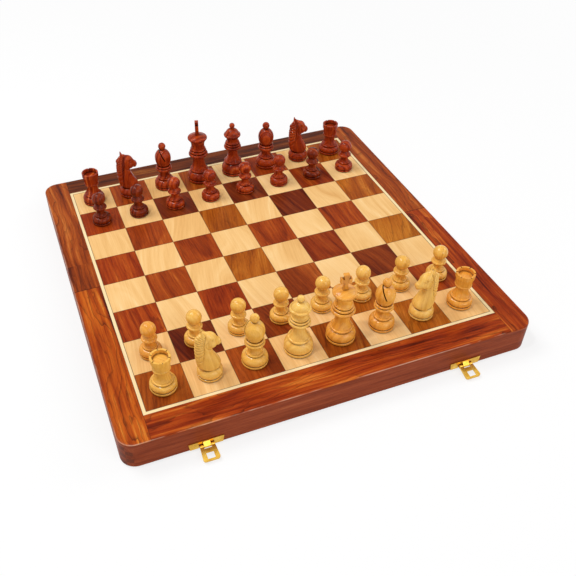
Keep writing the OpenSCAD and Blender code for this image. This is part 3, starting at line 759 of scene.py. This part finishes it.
# %% Stringing
def stringing_material():
    """A bright cream strip with a thin dark glue line along both edges."""
    made, tree, out = new_material("stringing_wood")
    place = object_place(tree)
    parts = add(tree, "SeparateXYZ", None, Vector=place)
    x, y = (calc(tree, "ABSOLUTE", parts.outputs[a]) for a in ("X", "Y"))
    far = calc(tree, "MAXIMUM", x, y)
    on_side = calc(tree, "GREATER_THAN", x, y)
    run = mix(tree, on_side, place, along_fibres(tree, place, "Y"))
    strands, pores = fibres(tree, run)
    grade = graded(tree, (streaks(tree, run, 0.9, 40), 0.9), (strands, 0.4))
    colour = tone_ramp(tree, grade, ["#ecc88c", "#f2d49c", "#f7dfac", "#fae7ba", "#fdeeca"])
    field = 4 * square
    inner = calc(tree, "LESS_THAN", far, field + 0.35 * mm)
    outer = calc(tree, "GREATER_THAN", far, stringing_out - 0.2 * mm)
    colour = mix(tree, calc(tree, "MULTIPLY", calc(tree, "MAXIMUM", inner, outer), 0.7), colour,
                 paint("#5a2e14"))
    lacquered(tree, out, colour, strands, pores, 0.4)
    return made


stringing_wood = stringing_material()
for half in ("front", "rear"):
    dress(half + "_stringing", stringing_wood)
print("stringing dressed,", round((stringing_out - 4 * square) / mm, 1), "mm wide")

# %% [markdown]
# ## Inside the box
#
# The squares are glued to a thin plywood panel. Its edge shows plies with dark glue between them,
# for which a wave texture across the sheet is enough.


# %% Plywood
def plywood_material():
    """Pale plies with a dark glue line between them."""
    made, tree, out = new_material("plywood")
    place = object_place(tree)
    strands, pores = fibres(tree, place)
    plies = add(tree, "TexWave", {"bands_direction": "Z"}, Vector=place, Scale=320.0, Distortion=0.4)
    grade = graded(tree, (streaks(tree, place, 3.0), 0.8), (strands, 0.4))
    colour = tone_ramp(tree, grade, ["#b98f5c", "#c79f6a", "#d3ad78", "#dcb985", "#e5c794"])
    colour = mix(tree, remap(tree, plies.outputs["Fac"], 0.75, 0.95, 0.0, 0.5), colour, paint("#6b4526"))
    lacquered(tree, out, colour, strands, pores, 0.6)
    return made


plywood = plywood_material()
for half in ("front", "rear"):
    dress(half + "_panel", plywood)
print("panels dressed")

# %% [markdown]
# ## Felt
#
# Both half-boxes are lined with green felt. Felt is a mat of short wool fibres: it scatters light
# softly, so it gets nearly full roughness, a little sheen and a fine uneven fuzz. Real hairs would
# cost millions of strands and not show at this distance.


# %% Felt
def felt_colour(tree, place):
    """Green wool, a little uneven, and its fuzz as a height."""
    fuzz = noise(tree, place, 2200.0, 3.0, 0.7)
    cloud = noise(tree, place, 90.0, 2.0, 0.5)
    grade = graded(tree, (fuzz, 1.0), (cloud, 0.6))
    return tone_ramp(tree, grade, ["#12331f", "#1b4429", "#245333", "#2e613d", "#3b714a"]), fuzz


def felt_material():
    """Felt for the linings."""
    made, tree, out = new_material("green_felt")
    colour, fuzz = felt_colour(tree, object_place(tree))
    relief = add(tree, "Bump", None, Strength=0.6, Distance=0.0002, Height=fuzz)
    surface = add(tree, "BsdfPrincipled", None, Base_Color=colour, Roughness=0.95,
                  Normal=relief.outputs[0])
    surface.inputs["Specular IOR Level"].default_value = 0.1
    surface.inputs["Sheen Weight"].default_value = 0.3
    surface.inputs["Sheen Roughness"].default_value = 0.5
    feed(tree, out.inputs["Surface"], surface.outputs[0])
    return made


felt = felt_material()
for half in ("front", "rear"):
    dress(half + "_lining", felt)
print("linings dressed")

# %% [markdown]
# ## Brass
#
# Hinges, hasps and screws are bright brass. Polished sheet is never perfectly smooth: fine brush
# marks run along it and small dents soften the reflections, so both go into the roughness and the
# relief, and a faint cloud of darker tarnish into the colour. Painted shade darkens the crevices,
# which the Ambient Occlusion node finds, and a Bevel modifier rounds the hasps' edges as wear does.


# %% Brass
hollow_shade_reach = 1.5 * mm
edge_width = 0.35 * mm


def brass_material():
    """Polished brass with brush marks, small dents, and painted shade in its hollows."""
    made, tree, out = new_material("polished_brass")
    place = object_place(tree)
    brushed = noise(tree, stretch(tree, place, (120, 3200, 3200)), 1.0, 2.0, 0.6)
    dents = noise(tree, place, 700.0, 2.0, 0.5)
    cloud = noise(tree, place, 160.0, 3.0, 0.6)
    grade = graded(tree, (cloud, 1.3), (brushed, 0.3))
    colour = tone_ramp(tree, grade, ["#b07a22", "#d09c38", "#e4b448", "#efc45c", "#f8d67c"])
    # painted shade: the colour darkens in the hollows that Ambient Occlusion finds
    hollow = add(tree, "AmbientOcclusion", {"samples": 6}, Distance=hollow_shade_reach)
    hollow_shade = remap(tree, hollow.outputs["AO"], 0.75, 0.3, 0.0, 0.8)
    colour = mix(tree, hollow_shade, colour, paint("#4a2e08"))
    roughness = remap(tree, brushed, 0.3, 0.7, 0.2, 0.36)
    height = calc(tree, "MULTIPLY_ADD", dents, 1.0, calc(tree, "MULTIPLY", brushed, 0.15))
    relief = add(tree, "Bump", None, Strength=0.3, Distance=0.00006, Height=height)
    metal = add(tree, "BsdfPrincipled", None, Base_Color=colour, Metallic=1.0, Roughness=roughness,
                Normal=relief.outputs[0])
    feed(tree, out.inputs["Surface"], metal.outputs[0])
    return made


brass = brass_material()
for name in nodes:
    if any(word in name for word in ("hasp", "hinge", "screws", "strike")):
        dress(name, brass)
    if "hasp" in name:
        wear_and_highlight = nodes[name].modifiers.new("worn edges", "BEVEL")
        wear_and_highlight.width = edge_width
        wear_and_highlight.segments = 3
        wear_and_highlight.limit_method = "ANGLE"
        wear_and_highlight.angle_limit = math.radians(40)
print("brass on", sum(brass.name in node.data.materials for node in nodes.values()), "nodes")

# %% [markdown]
# ## The men's wood
#
# The light men are boxwood, from pale cream to honey and nearly orange, the dark ones stained
# red-brown under a glossy polish. They are turned with the fibres upright. Painted shade darkens the
# turned grooves, which Ambient Occlusion finds over a few millimetres. A felt disc is glued under
# each, so the material turns to felt just above the board.


# %% Wood of the men
crease_shade_reach = 2.5 * mm
felt_thick = 0.6 * mm
boxwood = (0.1, 0.3, 1.3)       # roughness, shine and strength of the rings
red_stain = (0.08, 0.12, 1.9)


def man_material(name, tones, crease_shade_colour, gloss, shine, vein):
    """Turned wood with upright fibres and painted shade in its creases, on a felt disc."""
    made, tree, out = new_material(name)
    place = object_place(tree)
    run = along_fibres(tree, place, "Z")
    strands, pores = fibres(tree, run)
    grade = graded(tree, (rings(tree, run, (14, 9), 2.2, 3.0), vein), (streaks(tree, run, 0.9, 25), 0.5),
                   (strands, 0.35))
    colour = tone_ramp(tree, grade, tones)
    # painted shade: the colour darkens in the creases that Ambient Occlusion finds
    hollow = add(tree, "AmbientOcclusion", {"samples": 6}, Distance=crease_shade_reach)
    crease_shade = remap(tree, hollow.outputs["AO"], 0.85, 0.45)
    colour = mix(tree, calc(tree, "MULTIPLY", crease_shade, 0.85), colour, paint(crease_shade_colour))
    wool, fuzz = felt_colour(tree, place)
    on_felt = calc(tree, "LESS_THAN", coordinate(tree, place, "Z"), board_top + felt_thick)
    colour = mix(tree, on_felt, colour, wool)
    surface = lacquered(tree, out, colour, strands, pores, gloss, shine, 0.000012)
    polish = surface.inputs["Roughness"].links[0].from_socket
    tree.links.new(calc(tree, "MAXIMUM", polish, on_felt), surface.inputs["Roughness"])
    return made


box_pale = man_material("boxwood_pale", ["#d2943e", "#e9ae4e", "#f5be5a", "#fbcb6a", "#ffda84"],
                        "#6b3510", *boxwood)
box_honey = man_material("boxwood_honey", ["#c8872e", "#e2a441", "#f2b64e", "#f9c45e", "#ffd476"],
                         "#66300c", *boxwood)
box_orange = man_material("boxwood_orange", ["#bf701e", "#da8e30", "#ec9f3a", "#f3ad46", "#fbbf5c"],
                          "#5c2809", *boxwood)
men_red = man_material("men_red_wood", ["#3c0b04", "#7a220b", "#9e3511", "#b64718", "#dc6c2a"],
                       "#1c0502", *red_stain)
men_dusky = man_material("men_dusky_wood", ["#2a0803", "#5a1807", "#76260b", "#903610", "#b44e1c"],
                         "#140402", *red_stain)
print("polished to a roughness of", boxwood[0], "for the light men and", red_stain[0], "for the dark")

# %% [markdown]
# A set is turned from several pieces of wood, so its men aren't all of one tone. A few light ones
# are paler or more orange than the rest, and a few dark ones duskier.

# %% Dress the men
pale_men = {"light_knight_b", "light_knight_g", "light_pawn_f", "light_queen_d"}
orange_men = {"light_king_e", "light_bishop_f", "light_rook_h", "light_pawn_a"}
dusky_men = {"dark_pawn_a", "dark_pawn_b", "dark_pawn_g"}
kinds = ("pawn", "rook", "knight", "bishop", "queen", "king")
men = [name for name in nodes if name.split("_")[1] in kinds]
for name in men:
    if name.startswith("light_"):
        dress(name, box_pale if name in pale_men else box_orange if name in orange_men else box_honey)
    else:
        dress(name, men_dusky if name in dusky_men else men_red)
print(len(men), "men dressed")

# %% [markdown]
# ## Carved knights
#
# A horse's head is carved, not turned, so it isn't built from a profile. It is built like clay:
# as a distance field, a function that says for every point in space how far it is from the
# surface, below zero inside. Shapes melt together with a smooth minimum of their fields, cuts are
# a smooth maximum with the opposite of a field, and shallow grooves simply add to it. The field is
# worked out on a fine grid, and its zero surface becomes a mesh. The CAD knight gives the size.


# %% Tools for a carved solid
def profile(height, table):
    """A smooth curve through (height, value) pairs, read at every height."""
    fine = np.arange(6, 54, 0.1)
    soft = np.hanning(35)
    values = np.interp(fine, *np.array(table, float).T)
    values = np.convolve(np.pad(values, 17, mode="edge"), soft / soft.sum(), mode="valid")
    return np.interp(height, fine, values)


def egg(place, middle, radii):
    """Distance to an ellipsoid, nearly."""
    near = (place - middle) / np.array(radii)
    size = np.linalg.norm(near, axis=-1)
    return size * (size - 1) / np.maximum(np.linalg.norm(near / np.array(radii), axis=-1), 1e-6)


def cone(place, start, end, radius_start, radius_end, flat=1.0):
    """Distance to a round-ended cone, nearly; flat squeezes it across."""
    squeeze = np.array([1, 1 / flat, 1])
    start, axis = np.array(start) * squeeze, (np.array(end) - start) * squeeze
    away = place * squeeze - start
    along = np.clip(away @ axis / (axis @ axis), 0, 1)
    distance = np.linalg.norm(away - along[..., None] * axis, axis=-1)
    return distance - radius_start - (radius_end - radius_start) * along


def joined(one, other, reach):
    """Smooth union: the two melt into each other over this reach."""
    share = np.clip(0.5 + 0.5 * (other - one) / reach, 0, 1)
    return other + (one - other) * share - reach * share * (1 - share)


def cut(solid, tool, reach=0.3):
    """Takes the tool's shape away, with edges as soft as this reach."""
    return -joined(-solid, tool, reach)


ball_distance = egg(np.array([13.0, 0, 0]), np.zeros(3), (10, 10, 10))
print("13 mm from the middle of a 10 mm ball the field is", round(float(ball_distance), 2))

# %% [markdown]
# The neck follows three curves, read at every height: its back, its chest and its half width.
# Between them it is a rounded oval, blunter than an ellipse, as a carver leaves it.


# %% Neck and chest
def neck(place):
    """Distance in mm to the neck and chest of a horse that faces +X, cut off above."""
    x, y, z = np.moveaxis(place, -1, 0)
    back = profile(z, [(9, -9.3), (12, -9.9), (15, -10.4), (19, -10.9), (24, -11.2), (31, -11.3),
                       (36, -11.0), (41, -9.8), (46, -7.4), (49, -5.0)])
    chest = profile(z, [(9, 8.2), (12, 9.1), (14.5, 9.2), (17, 8.3), (20, 6.5), (24, 4.4), (28, 2.8),
                        (33, 2.4), (40, 3.0), (46, 0.5), (49, -2.5)])
    half = profile(z, [(9, 7.1), (13, 7.5), (20, 6.4), (28, 5.2), (36, 4.6), (43, 3.8), (49, 1.6)])
    # towards the chest the neck is round, towards the mane it narrows
    along = (x - (back + chest) / 2) / ((chest - back) / 2)
    half = half * (1 - 0.22 * np.clip(-along, 0, 1) ** 2)
    size = (np.abs(along) ** 2.5 + np.abs(y / half) ** 2.5) ** (1 / 2.5)
    solid = (size - 1) * np.minimum(half, (chest - back) / 2) * 0.9
    return cut(solid, 46.5 - z, 2.0)


print("inside the neck the field is", round(float(neck(np.array([-4.0, 0, 25.0]))), 1))

# %% [markdown]
# Skull and cheek are two eggs, the muzzle two cones and an egg. What lies on both sides is made
# once, for a place whose Y is taken without its sign.


# %% Head
def head(place, side):
    """Skull, cheek and muzzle: a straight nose line and a blunt, square end."""
    skull = joined(egg(place, (0.6, 0, 39.6), (6.3, 4.5, 6.6)),
                   egg(place, (2.6, 0, 35.7), (4.9, 5.1, 4.7)), 1.0)
    muzzle = cone(place, (1.8, 0, 40.6), (7.1, 0, 35.5), 4.4, 3.1, 0.86)
    muzzle = joined(muzzle, cone(place, (4.2, 0, 34.6), (7.9, 0, 33.1), 2.9, 2.0, 0.9), 0.8)
    muzzle = joined(muzzle, egg(side, (8.5, 1.1, 35.4), (1.8, 1.7, 2.7)), 0.8)
    return joined(skull, muzzle, 1.0)


def crest_and_ears(solid, place, side):
    """Adds the crest of the mane, the forelock, the brows and the ears."""
    crest = cone(place, (-2.6, 0, 45.2), (-8.4, 0, 41.4), 2.3, 2.3, 0.9)
    solid = joined(solid, crest, 1.0)
    solid = joined(solid, cone(place, (-2.6, 0, 46.6), (1.8, 0, 44.4), 1.5, 0.9), 0.8)
    solid = joined(solid, cone(side, (1.2, 3.2, 42.8), (4.8, 2.8, 40.9), 1.0, 0.7), 0.7)
    ear = cone(side, (-3.8, 1.8, 45.0), (-4.8, 2.0, 50.2), 2.0, 0.5, 0.8)
    ear = cut(ear, cone(side, (-1.8, 2.3, 46.2), (-3.9, 2.2, 49.4), 0.9, 0.3), 0.3)
    return joined(solid, ear, 0.5)


def face_cuts(solid, side, x, z):
    """Cuts eye sockets, nostrils, mouth, and the groove that parts jaw and neck; sets the eyes in."""
    solid = cut(solid, egg(side, (3.5, 4.6, 40.4), (2.1, 1.2, 1.5)), 0.6)
    solid = joined(solid, egg(side, (3.5, 3.3, 40.3), (1.25, 1.0, 0.95)), 0.25)
    solid = cut(solid, egg(side, (9.9, 2.2, 36.3), (0.8, 0.8, 0.6)), 0.3)
    solid = cut(solid, cone(side, (11.5, 3.0, 33.4), (6.6, 3.6, 34.0), 0.45, 0.25, 3.0), 0.3)
    jaw = np.hypot(x - 2.3, z - 35.8)
    groove = np.exp(-((jaw - 5.2) / 0.55) ** 2) * np.clip((3.2 - x) / 2, 0, 1) * np.clip((41 - z) / 2, 0, 1)
    return solid + 0.5 * groove


nose = np.array([7.9, 0, 33.1])
print("in the end of the muzzle the field is", round(float(head(nose, nose)), 1))

# %% [markdown]
# The mane is cut with a V tool in strokes that fan out. Adding a little to the field moves the
# surface inwards, so a wave of such small amounts gives one groove for each stroke.


# %% Mane, and the whole horse
mane_strokes = 19         # half waves for each radian of the fan


def mane_cuts(solid, x, z):
    """Cuts of the mane, fanning out behind a line from the ear to the withers."""
    line = profile(z, [(16, -7.2), (22, -6.0), (30, -4.6), (38, -4.4), (44, -2.6), (49, -1.5)])
    low_end, top_end = np.clip((z - 17) / 4, 0, 1), np.clip((46.5 - z) / 2, 0, 1)
    on_mane = np.clip((line - x) / 0.8, 0, 1) * low_end * top_end
    turn = np.arctan2(z - 39.0, 4.0 - x)
    wave = np.abs(np.sin((turn + 0.012 * (x + 8)) * mane_strokes))
    solid = solid + 0.62 * (1 - wave) ** 2 * on_mane
    return solid + 0.7 * np.exp(-((x - line) / 0.5) ** 2) * low_end * top_end


def horse(place):
    """Signed distance in mm to a carved horse that faces +X and stands at z = 9.3."""
    x, y, z = np.moveaxis(place, -1, 0)
    side = place * (1, 0, 1) + np.abs(y)[..., None] * (0, 1, 0)     # both sides alike
    solid = joined(neck(place), head(place, side), 1.3)
    solid = crest_and_ears(solid, place, side)
    solid = face_cuts(solid, side, x, z)
    solid = mane_cuts(solid, x, z)
    # the body ends in a wide V that stands on the base's dome
    return cut(solid, z - 9.5 - 0.36 * np.abs(x - 1.0), 0.4)


print("in the cheek the field is", round(float(horse(np.array([2.6, 0, 35.7]))), 1))

# %% [markdown]
# The mesh is drawn over the field as a net: each small cell that the surface crosses gets one
# point, the mean of its crossings, and each crossed edge gets a quad between its four cells.
# Blender's metaballs are such a field too, but their few round shapes give no crisp grooves.


# %% From the field to a mesh
def skin(field, low, step):
    """Points and quads of a field's zero surface: one point in each cell that the surface crosses."""
    shape = np.array(field.shape) - 1
    corners = np.array(list(np.ndindex(2, 2, 2)))
    inside = field < 0
    filled = sum(inside[tuple(slice(c, c + n) for c, n in zip(corner, shape))].astype(int)
                 for corner in corners)
    crossed = (filled > 0) & (filled < 8)
    cells = np.argwhere(crossed)
    number = np.full(shape, -1)
    number[crossed] = np.arange(len(cells))
    total, count = np.zeros((len(cells), 3)), np.zeros((len(cells), 1))
    faces = []
    for axis in range(3):
        one, two = (np.eye(3, dtype=int)[(axis + k) % 3] for k in (1, 2))
        ahead = np.eye(3, dtype=int)[axis]
        for corner in corners[corners[:, axis] == 0]:
            a = field[tuple((cells + corner).T)]
            b = field[tuple((cells + corner + ahead).T)]
            through = ((a < 0) != (b < 0))[:, None]
            share = (a / np.where(a == b, 1, a - b))[:, None]
            total += np.where(through, corner + share * ahead, 0)
            count += through
        a = inside[tuple(slice(1, n) for n in shape)]
        b = inside[tuple(slice(1 + d, n + d) for d, n in zip(ahead, shape))]
        for start, sign in ((np.argwhere(a & ~b) + 1, 1), (np.argwhere(~a & b) + 1, -1)):
            ring = [number[tuple((start - off).T)] for off in (0 * one, one, one + two, two)]
            faces.append(np.stack(ring[::sign], axis=1))
    return low + (cells + total / count) * step, np.concatenate(faces)


steps = np.arange(-2, 2.1, 0.5)
ball = np.linalg.norm(np.stack(np.meshgrid(steps, steps, steps, indexing="ij"), axis=-1), axis=-1) - 1.2
print("a small ball takes", len(skin(ball, -2.0, 0.5)[1]), "quads")

# %% [markdown]
# The knight's foot is turned like the other men's, from an outline of radii and heights. One horse
# and foot serve all four knights: each copy is scaled to the CAD knight's height and replaces it.


# %% Carve one horse and turn its base
def turned_base(outline, segments=96):
    """Points and quads of a turned solid from its (radius, height) outline."""
    turns = np.arange(segments) * 2 * math.pi / segments
    rows = np.array([[(r * math.cos(t), r * math.sin(t), h) for t in turns] for r, h in outline])
    number = np.arange(rows.shape[0] * segments).reshape(rows.shape[:2])
    after = np.roll(number, -1, axis=1)
    quads = np.stack([number[:-1], after[:-1], after[1:], number[1:]], axis=-1).reshape(-1, 4)
    return rows.reshape(-1, 3), quads


def arc(middle, radius, start, end, steps=14):
    """Points on an arc between two angles in degrees."""
    return [(middle[0] + radius * math.cos(math.radians(a)), middle[1] + radius * math.sin(math.radians(a)))
            for a in np.linspace(start, end, steps)]


grid_step = 0.32
grid_low = np.array([-13.0, -9.0, 8.6])
grid = np.stack(np.meshgrid(*(low + np.arange(0, size, grid_step)
                              for low, size in zip(grid_low, (26, 18, 44))), indexing="ij"), axis=-1)
head_points, head_quads = skin(horse(grid), grid_low, grid_step)
foot_outline = ([(0.01, 0.1), (9.2, 0.1), (9.4, 0.3), (9.4, 0.75), (10.1, 0.75), (10.38, 0.9), (10.5, 1.15),
                 (10.5, 2.2), (10.38, 2.5), (10.1, 2.63), (9.45, 2.66), (9.45, 3.22)]
                + arc((7.2, 5.04), 3.3, -32, 0, 8) + arc((4.41, 5.04), 6.09, 2, 43, 14)
                + [(8.7, 9.4), (8.3, 9.7), (6.6, 10.5), (4.2, 11.3), (0.01, 12.0)])
foot_points, foot_quads = turned_base(foot_outline)
horse_points = np.concatenate([head_points, foot_points])
horse_quads = np.concatenate([head_quads, foot_quads + len(head_points)])
print(len(horse_quads), "faces in a knight")


def knight(node, facing):
    """A carved knight in the place of a CAD one, turned by facing degrees."""
    low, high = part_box(node)
    middle = Vector(((math.floor((low.x + high.x) / 2 / square) + 0.5) * square,
                     (math.floor((low.y + high.y) / 2 / square) + 0.5) * square, board_top))
    mesh = bpy.data.meshes.new("carved_" + node)
    mesh.from_pydata(horse_points.tolist(), [], horse_quads.tolist())
    mesh.transform(Matrix.Translation(middle) @ Matrix.Rotation(math.radians(facing), 4, "Z")
                   @ Matrix.Scale((high.z - low.z) / horse_points[:, 2].max(), 4))
    for face in mesh.polygons:
        face.use_smooth = True
    made = bpy.data.objects.new("carved_" + node, mesh)
    bpy.context.scene.collection.objects.link(made)
    made.data.materials.append(nodes[node].data.materials[0])
    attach(made, nodes[node]["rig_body"])
    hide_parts(node)
    return made


facings = {"light_knight_b": 0, "light_knight_g": 180, "dark_knight_b": 0, "dark_knight_g": 0}
for node, facing in facings.items():
    knight(node, facing)
print("four knights carved")
